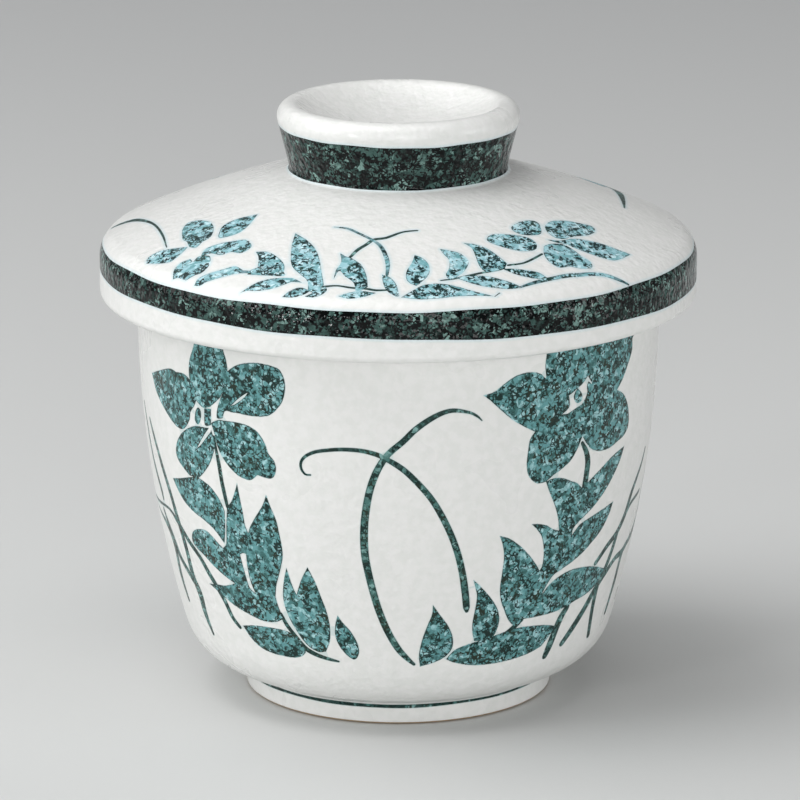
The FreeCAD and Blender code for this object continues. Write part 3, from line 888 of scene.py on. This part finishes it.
class TurnedMesh:
    """The points, normals and faces of a turned piece, in millimetres, as it is made."""

    def __init__(self, points, normals, faces, paints):
        self.points = list(points)
        self.normals = list(normals)
        self.faces = [tuple(face) for face in faces]
        self.paints = list(paints)

    def strips(self, section, places, ring):
        """Plain strips from a ring on along the section, to a last point on the axis."""
        bare_from = section.marks.get("bare_start", -1)
        bare_to = section.marks.get("bare_end", -1)
        for place in places:
            radius, height, out, up = section.at(place)
            if radius < NEAR_ZERO:
                self.points.append((0, 0, height))
                self.normals.append((0, 0, up))
                ring_next = [len(self.points) - 1] * AROUND
            else:
                ring_next = list(range(len(self.points), len(self.points) + AROUND))
                for a in RING:
                    self.points.append((radius * cos(a), radius * sin(a), height))
                    self.normals.append((out * cos(a), out * sin(a), up))
            for i in range(AROUND):
                j = (i + 1) % AROUND
                face = [ring[i], ring[j], ring_next[j], ring_next[i]]
                if places[-1] < places[0]:
                    face.reverse()
                self.faces.append(tuple(dict.fromkeys(face)))
                self.paints.append(BARE if bare_from <= place <= bare_to else GLAZE)
            ring = ring_next

    def piece(self, name, depth, materials):
        """The object, with how far its points are from the paint's edge as depth."""
        kinds = sorted(materials)
        mesh = bpy.data.meshes.new(name)
        mesh.from_pydata([[float(v) * MM for v in point] for point in self.points], [], self.faces)
        for kind in kinds:
            mesh.materials.append(materials[kind])
        indices = [kinds.index(paint) for paint in self.paints]
        mesh.polygons.foreach_set("material_index", indices)
        mesh.polygons.foreach_set("use_smooth", [True] * len(self.faces))
        depths = [*depth, *[DEEP] * (len(self.points) - len(depth))]
        mesh.attributes.new("depth", "FLOAT", "POINT").data.foreach_set("value", depths)
        normals = [tuple(float(v) for v in normal) for normal in self.normals]
        mesh.normals_split_custom_set_from_vertices(normals)
        return placed(name, mesh)


def painted_piece(name, node, wall, layers, materials):
    """The turned piece as one mesh whose wall is divided along the edges of its paint."""
    flat, faces, on_ring = cut_wall(wall, layers)
    paints = paints_at(flat[faces].mean(axis=1), layers)
    places = np.stack(wall.unflat(flat), axis=-1)
    ring_points = np.flatnonzero(on_ring >= 0)
    for i in ring_points:
        places[i] = RING[on_ring[i] % AROUND], wall.along[0 if on_ring[i] < AROUND else -1]
    points, normals = wall.solid(places[:, 0], places[:, 1])
    faces = facing_out(points, normals, faces)
    depth = np.minimum(DEEP, how_far(tree_of(paint_edges(points, faces, paints)), points))
    rings = np.zeros(2 * AROUND, dtype=int)
    rings[on_ring[ring_points]] = ring_points
    first_ring, last_ring = rings[:AROUND].tolist(), rings[AROUND:].tolist()

    turned = TurnedMesh(points, normals, faces, paints)
    section = wall.section
    turned.strips(section, section.rows(wall.along[-1], section.length)[1:], last_ring)
    turned.strips(section, section.rows(0, wall.along[0])[-2::-1], first_ring)
    piece = turned.piece(name, depth, materials)
    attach(piece, "root")
    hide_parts(node)
    return piece


def linear(red, green, blue):
    """A colour written in the 0 to 255 scale of a screen, as the shaders take it."""
    return tuple((c / 255 / 12.92) if c <= 10 else ((c / 255 + 0.055) / 1.055) ** 2.4
                 for c in (red, green, blue)) + (1.0,)


# How wide blobs of noise are at scale 1, in general and where noise bends the
# cells of paint, and how far cells stray, as a share of their size.
NOISE_SPAN = 0.5
BEND_SPAN = 0.7
CELL_WANDER = 1.1


class Shader:
    """Short calls for a material's nodes. Sizes are millimetres."""

    def __init__(self, name):
        self.material = bpy.data.materials.new(name)
        self.material.use_nodes = True
        self.nodes = self.material.node_tree.nodes
        self.links = self.material.node_tree.links
        self.surface = self.nodes["Principled BSDF"]
        self.place = self.nodes.new("ShaderNodeTexCoord").outputs["Object"]

    def join(self, source, target):
        if hasattr(source, "is_output"):
            self.links.new(source, target)
        else:
            target.default_value = source

    def node(self, kind, inputs, **values):
        node = self.nodes.new(kind)
        for name, value in values.items():
            setattr(node, name, value)
        for name, source in inputs.items():
            self.join(source, node.inputs[name])
        return node

    def noise(self, size, detail=2.0, rough=0.5, offset=(0, 0, 0)):
        """Smooth noise about 0.5 whose blobs are about a size across."""
        moved = self.node("ShaderNodeVectorMath", {0: self.place, 1: offset}, operation="ADD")
        return self.node("ShaderNodeTexNoise", {
            "Vector": moved.outputs[0], "Scale": NOISE_SPAN / (size * MM),
            "Detail": detail, "Roughness": rough}).outputs["Fac"]

    def cells(self, size, offset=(0, 0, 0), **values):
        """Cells about a size across, whose edges a smaller noise makes crooked."""
        noise = self.node("ShaderNodeTexNoise", {
            "Vector": self.place, "Scale": BEND_SPAN / (size * MM), "Detail": 1.0})
        bend = self.node("ShaderNodeVectorMath", {
            0: noise.outputs["Color"], 1: [CELL_WANDER * size * MM] * 3, 2: offset},
            operation="MULTIPLY_ADD")
        moved = self.node("ShaderNodeVectorMath", {0: self.place, 1: bend.outputs[0]},
                          operation="ADD")
        return self.node("ShaderNodeTexVoronoi", {
            "Vector": moved.outputs[0], "Scale": 1 / (size * MM)}, **values)

    def chips(self, size, offset=(0, 0, 0)):
        """A random value for each of many angular chips about a size across."""
        colour = self.cells(size, offset).outputs["Color"]
        return self.node("ShaderNodeSeparateColor", {0: colour}).outputs[0]

    def net(self, size):
        """How far the edge of a cell about a size across is, where the size counts as one."""
        return self.cells(size, feature="DISTANCE_TO_EDGE").outputs["Distance"]

    def fewer(self, values, share, soft):
        """One where a value is under a share, which may itself vary, and nought above it."""
        return self.band(self.sum("SUBTRACT", share, values), -soft, soft)

    def band(self, source, low, high, out_low=0.0, out_high=1.0):
        """A value moved from one range to another, smoothly and held at its ends."""
        return self.node("ShaderNodeMapRange", {
            "Value": source, "From Min": low, "From Max": high, "To Min": out_low,
            "To Max": out_high}, interpolation_type="SMOOTHSTEP").outputs["Result"]

    def sum(self, operation, first, second):
        return self.node("ShaderNodeMath", {0: first, 1: second}, operation=operation).outputs[0]

    def mix(self, share, first, second):
        return self.node("ShaderNodeMix", {"Factor": share, "A": first, "B": second},
                         data_type="RGBA").outputs["Result"]

    def depth(self):
        return self.node("ShaderNodeAttribute", {}, attribute_name="depth").outputs["Fac"]

    def bump(self, height, depth):
        node = self.node("ShaderNodeBump", {"Height": height, "Distance": depth * MM,
                                            "Strength": 1.0})
        self.join(node.outputs["Normal"], self.surface.inputs["Normal"])

    def finish(self, colour, rough):
        self.join(colour, self.surface.inputs["Base Color"])
        self.join(rough, self.surface.inputs["Roughness"])
        return self.material


WHITE = linear(230, 230, 228)
WHITE_COOL = linear(225, 226, 223)
EDGE_TINT = linear(176, 200, 200)
BLEED_TINT = linear(184, 211, 218)
CLAY_PALE = linear(178, 158, 130)
# The darker clay brown is partly the clay's colour and partly painted shade at the foot's contact
# with the floor.
CLAY_BROWN_AND_SHADE = linear(140, 118, 92)

# Deep, middle and pale tones of each wash, and its dark.
LEAF_WASH = linear(50, 94, 92), linear(96, 151, 153), linear(166, 207, 211)
LEAF_DARK = linear(4, 38, 34), linear(28, 42, 30)
STROKE_WASH = linear(30, 68, 62), linear(68, 112, 107), linear(130, 170, 166)
LID_WASH = linear(110, 164, 170), linear(156, 200, 209), linear(204, 232, 238)
LID_DARK = linear(0, 36, 36), linear(30, 62, 56)
BAND_WASH = linear(26, 42, 39), linear(60, 87, 82), linear(124, 156, 149)
BAND_DARK = linear(0, 2, 2), linear(2, 6, 6)

# The range that most of a noise keeps to.
EVEN = 0.3, 0.7

# The glaze: sizes of its pits, of its rougher and smoother parts and of its
# two whites, in millimetres, and how rough its coat is.
PIT_SIZE, PIT_DETAIL = 0.55, 1.5
GLOSS_SIZE = 5
WHITE_SIZE, WHITE_RANGE = 0.7, (0.35, 0.65)
COAT_ROUGH = 0.12

# Bare clay: size, detail and roughness of the noise of its colours and pits.
CLAY_NOISE = 1.2, 4.0, 0.6
CLAY_PITS, CLAY_BUMP = (0.4, 3.0, 0.6), 0.06
CLAY_GLOSS, CLAY_ROUGH = 1.0, (0.72, 0.88)

# The texture of paint. Sizes are millimetres and ranges are of a noise. Each
# offset, in metres, gives its pattern a part of the noise that no other has.
GRAIN_SIZE, GRAIN_AT = 0.35, (0, 0, 0.04)
DEEP_TO_MIDDLE = 0.5, 1.0
MIDDLE_TO_PALE = 1.1, 1.6
CROWDED = 0.36, 0.6
BREAK_SIZE, BREAK_AT, BREAK = 0.5, (0.02, 0, 0), 0.12
LINE_SOFT = 0.07
SHADE_SIZE, SHADE_AT, SHADE_RANGE = 1.6, (0.05, 0, 0), (0.5, 0.6)
SPOT_SIZE, SPOT_AT, SPOT_SOFT = 0.34, (0.03, 0, 0), 0.06
RIM_REACH = 0.05, 0.18
RIM_SIZE, RIM_AT, RIM_BREAKS = 0.8, (0, 0.02, 0), (0.40, 0.50)


def skin(shader, level=0.4, coat=0.15, rough=(0.26, 0.36), pits=0.15):
    """The glaze over colour and paint alike: finely pitted, with a thin glossy coat."""
    shader.bump(shader.noise(PIT_SIZE, PIT_DETAIL), pits)
    shader.surface.inputs["Specular IOR Level"].default_value = level
    shader.surface.inputs["Coat Weight"].default_value = coat
    shader.surface.inputs["Coat Roughness"].default_value = COAT_ROUGH
    return shader.band(shader.noise(GLOSS_SIZE), *EVEN, *rough)


def glaze(name, tint, share, reach):
    """White glaze, tinted by the paint for a short way round it."""
    shader = Shader(name)
    whites = shader.band(shader.noise(WHITE_SIZE), *WHITE_RANGE)
    colour = shader.mix(whites, WHITE, WHITE_COOL)
    colour = shader.mix(shader.band(shader.depth(), 0.0, reach, share, 0.0), colour, tint)
    return shader.finish(colour, skin(shader))


def paint(name, wash, dark, cell, net, crowd, reach, spots, rim, **gloss):
    """Green underglaze: small cells of many tones in a broken dark net, with darker spots.

    cell, net and crowd are sizes in millimetres: of the cells, of the net's
    meshes and of the places where it crowds. reach is the net's half width
    where it is thin and where it crowds, spots is the share of dark spots
    there, and rim is how dark the paint's edge is.
    """
    shader = Shader(name)
    deep, middle, pale = wash
    grain = shader.noise(GRAIN_SIZE, 2.0, 0.6, GRAIN_AT)
    value = shader.sum("ADD", shader.chips(cell), grain)
    colour = shader.mix(shader.band(value, *DEEP_TO_MIDDLE), deep, middle)
    colour = shader.mix(shader.band(value, *MIDDLE_TO_PALE), colour, pale)

    crowded = shader.band(shader.noise(crowd), *CROWDED)
    breaks = shader.band(shader.noise(BREAK_SIZE, 1.0, 0.5, BREAK_AT), *EVEN, -BREAK, BREAK)
    width = shader.sum("ADD", shader.band(crowded, 0, 1, *reach), breaks)
    line = shader.fewer(shader.net(net), width, LINE_SOFT)
    shade = shader.mix(shader.band(shader.noise(SHADE_SIZE, offset=SHADE_AT), *SHADE_RANGE), *dark)
    colour = shader.mix(line, colour, shade)
    spot_share = shader.band(crowded, 0, 1, *spots)
    spot = shader.fewer(shader.chips(SPOT_SIZE, SPOT_AT), spot_share, SPOT_SOFT)
    colour = shader.mix(spot, colour, shade)

    edge = shader.band(shader.depth(), *RIM_REACH, rim, 0.0)
    broken = shader.band(shader.noise(RIM_SIZE, 1.0, 0.5, RIM_AT), *RIM_BREAKS)
    colour = shader.mix(shader.sum("MULTIPLY", edge, broken), colour, dark[0])
    return shader.finish(colour, skin(shader, **gloss))


def bare_clay():
    """The unglazed ring under the foot. Its darker brown is partly the clay's own
    colour and partly painted shade where the foot meets the floor.
    """
    shader = Shader("bare_foot")
    colour = shader.mix(shader.noise(*CLAY_NOISE), CLAY_PALE, CLAY_BROWN_AND_SHADE)
    shader.bump(shader.noise(*CLAY_PITS), CLAY_BUMP)
    rough = shader.band(shader.noise(CLAY_GLOSS), *EVEN, *CLAY_ROUGH)
    return shader.finish(colour, rough)


cup_glaze = glaze("cup_white_glaze", EDGE_TINT, share=0.5, reach=0.2)
lid_glaze = glaze("lid_white_glaze", BLEED_TINT, share=0.5, reach=0.6)
leaf_paint = paint(
    "leaf_paint", LEAF_WASH, LEAF_DARK, cell=0.7, net=0.62, crowd=0.9,
    reach=(0.0, 0.1), spots=(0.04, 0.16), rim=0.9, level=0.3, coat=0.1)
stroke_paint = paint(
    "stroke_paint", STROKE_WASH, LEAF_DARK, cell=0.62, net=0.62, crowd=0.9,
    reach=(0.0, 0.1), spots=(0.04, 0.2), rim=0.8, level=0.3, coat=0.1)
lid_leaf_paint = paint(
    "lid_leaf_paint", LID_WASH, LID_DARK, cell=0.7, net=0.6, crowd=0.8,
    reach=(-0.06, 0.1), spots=(0.0, 0.3), rim=0.55, level=0.25, coat=0.05)
band_paint = paint(
    "band_paint", BAND_WASH, BAND_DARK, cell=1.5, net=0.62, crowd=0.6,
    reach=(0.04, 0.18), spots=(0.14, 0.3), rim=0.6,
    level=0.22, coat=0.0, rough=(0.06, 0.12), pits=0.4)
foot_clay = bare_clay()

cup_wall = PaintedWall(cup_section())
cup_layers = [
    Layer(STROKE, twice(strokes(cup_wall, STEMS_AND_GRASS))),
    Layer(LEAF, twice(outlines(cup_wall, FLOWER_AND_LEAVES))),
    Layer(GLAZE, twice(outlines(cup_wall, BARE_SHAPES))),
    Layer(LEAF, twice(outlines(cup_wall, STAMENS))),
    Ring(STROKE, [ring_line(cup_wall, *FOOT_LINE_LOW), ring_line(cup_wall, *FOOT_LINE_HIGH)]),
]
cup = painted_piece(
    "cup_body", "cup", cup_wall, cup_layers,
    {GLAZE: cup_glaze, LEAF: leaf_paint, STROKE: stroke_paint, BARE: foot_clay})

lid_profile = lid_section()
lid_wall = PaintedWall(lid_profile)
root_low = lid_profile.at(lid_profile.marks["dome_end"])[1]
root_high = lid_profile.at(lid_profile.marks["root_end"])[1]
knob_band_low = root_low + ROOT_SHARE * (root_high - root_low)
lid_layers = [
    Layer(STROKE, twice(strokes(lid_wall, LID_LINES)) + strokes(lid_wall, EDGE_STROKES)),
    Layer(LEAF, twice(outlines(lid_wall, LID_LEAVES) + strokes(lid_wall, LID_STROKES))),
    Ring(BAND, [ring_line(lid_wall, *SIDE_BAND_LOW, SIDE_BAND_TILT),
                ring_line(lid_wall, *SIDE_BAND_HIGH)]),
    Ring(BAND, [ring_line(lid_wall, knob_band_low, KNOB_BAND_LOW_WAVES),
                ring_line(lid_wall, *KNOB_BAND_HIGH)]),
]
lid = painted_piece(
    "lid_body", "lid", lid_wall, lid_layers,
    {GLAZE: lid_glaze, LEAF: lid_leaf_paint, STROKE: stroke_paint, BAND: band_paint})

# The floor: its reach, its grain in millimetres, and how it darkens to the back:
# painted shade for the light that falls off with distance.
FLOOR_REACH = 4.0
FLOOR_GRAIN, FLOOR_BUMP, FLOOR_ROUGH = 0.6, 0.02, 0.8
FLOOR_FRONT = linear(208, 209, 208)
FLOOR_BACK_SHADE = linear(189, 190, 190)
FLOOR_SHADE_SPAN = 0.02, 0.6


def add_floor():
    reach = FLOOR_REACH
    corners = [(-reach, -reach, 0), (reach, -reach, 0), (reach, reach, 0), (-reach, reach, 0)]
    mesh = bpy.data.meshes.new("floor")
    mesh.from_pydata(corners, [], [(0, 1, 2, 3)])
    shader = Shader("floor_paper")
    behind = shader.node("ShaderNodeSeparateXYZ", {0: shader.place}).outputs["Y"]
    # Painted shade: the floor's colour darkens towards the back as the light falls off.
    back = shader.band(behind, *FLOOR_SHADE_SPAN)
    shader.bump(shader.noise(FLOOR_GRAIN), FLOOR_BUMP)
    colour = shader.mix(back, FLOOR_FRONT, FLOOR_BACK_SHADE)
    mesh.materials.append(shader.finish(colour, FLOOR_ROUGH))
    floor = placed("floor", mesh)


# Square lamps that face the cup: degrees right of the camera and up, distance
# and size in metres, and watts.
LAMPS = (
    ("high_left", -75, 62, 1.3, 1.0, 6.3),
    ("overhead", -20, 80, 1.3, 1.0, 4.3),
    ("low_left", -80, 24, 1.4, 0.9, 6.8),
    ("back_left", -130, 45, 1.4, 0.9, 2.2),
    ("low_front", 10, 5, 1.4, 0.7, 6.8),
    ("low_right", 75, 9, 1.4, 0.6, 4.4),
    ("front_box", -42, 8, 0.9, 0.1, 1.2),
)
LAMP_AIM = Vector((0, 0, 0.045))
WORLD_COLOUR = 0.98, 0.99, 1.0, 1
WORLD_STRENGTH = 0.23


def add_lamp(name, azimuth, rise, distance, size, watts):
    turn, lift = radians(azimuth), radians(rise)
    reach = cos(lift)
    away = Vector((sin(turn) * reach, -cos(turn) * reach, sin(lift)))
    light = bpy.data.lights.new(name, "AREA")
    light.size = size
    light.energy = watts
    lamp = placed(name, light)
    lamp.location = LAMP_AIM + away * distance
    lamp.rotation_euler = away.to_track_quat("Z", "Y").to_euler()


add_floor()
for lamp_values in LAMPS:
    add_lamp(*lamp_values)

world = bpy.data.worlds.new("studio")
world.use_nodes = True
background = world.node_tree.nodes["Background"].inputs
background["Color"].default_value = WORLD_COLOUR
background["Strength"].default_value = WORLD_STRENGTH
bpy.context.scene.world = world

camera_data = bpy.data.cameras.new("camera")
camera_data.sensor_width = SENSOR_WIDTH
camera_data.lens = PHOTO_FOCUS / PHOTO_SIZE * SENSOR_WIDTH
camera_data.shift_x = (PHOTO_LEVEL - PHOTO_AXIS) / PHOTO_SIZE
camera_data.clip_end = VIEW_END
camera = placed("camera", camera_data)
camera.location = (0, -CAMERA_DISTANCE * cos(CAMERA_RISE) * MM,
                   (CAMERA_TARGET + CAMERA_DISTANCE * sin(CAMERA_RISE)) * MM)
camera.rotation_euler = (pi / 2 - CAMERA_RISE, 0, 0)
bpy.context.scene.camera = camera
bpy.context.scene.view_settings.view_transform = "Standard"
